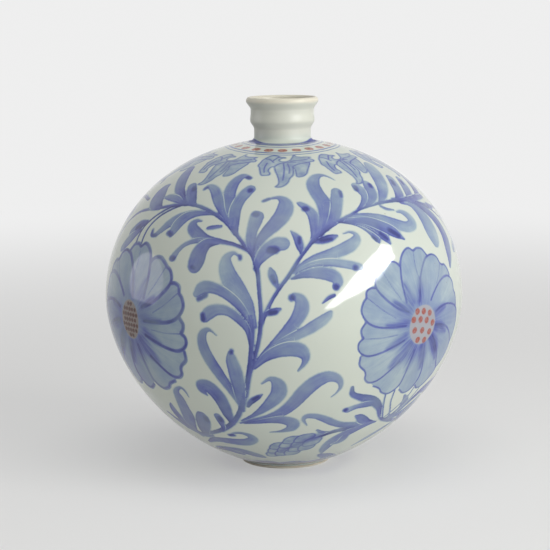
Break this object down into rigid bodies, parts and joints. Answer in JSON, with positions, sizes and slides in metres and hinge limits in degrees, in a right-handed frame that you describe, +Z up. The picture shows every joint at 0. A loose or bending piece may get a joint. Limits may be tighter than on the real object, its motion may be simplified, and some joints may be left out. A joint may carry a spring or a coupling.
{
  "type": "vase",
  "caption": "Globe-shaped porcelain flask vase with a short banded neck, painted in blue with a flower and leaf scroll and a ring of red dots.",
  "frame": {"origin": "on the vase's axis, at the level of the table that its foot stands on", "axes": "+Z up along the axis of turning; -Y faces the viewer of the picture, towards the leaf spray between two flowers; +X is the viewer's right"},
  "size_m": [0.1948, 0.1948, 0.2],
  "materials": {
    "painted_glaze": "glossy",
    "plain_glaze": "glossy",
    "bare_porcelain": "matte"
  },
  "bodies": {
    "root": {"foot_ring": "bare_porcelain", "lower_body": "painted_glaze", "upper_body": "painted_glaze", "neck": "plain_glaze"}
  },
  "joints": []
}
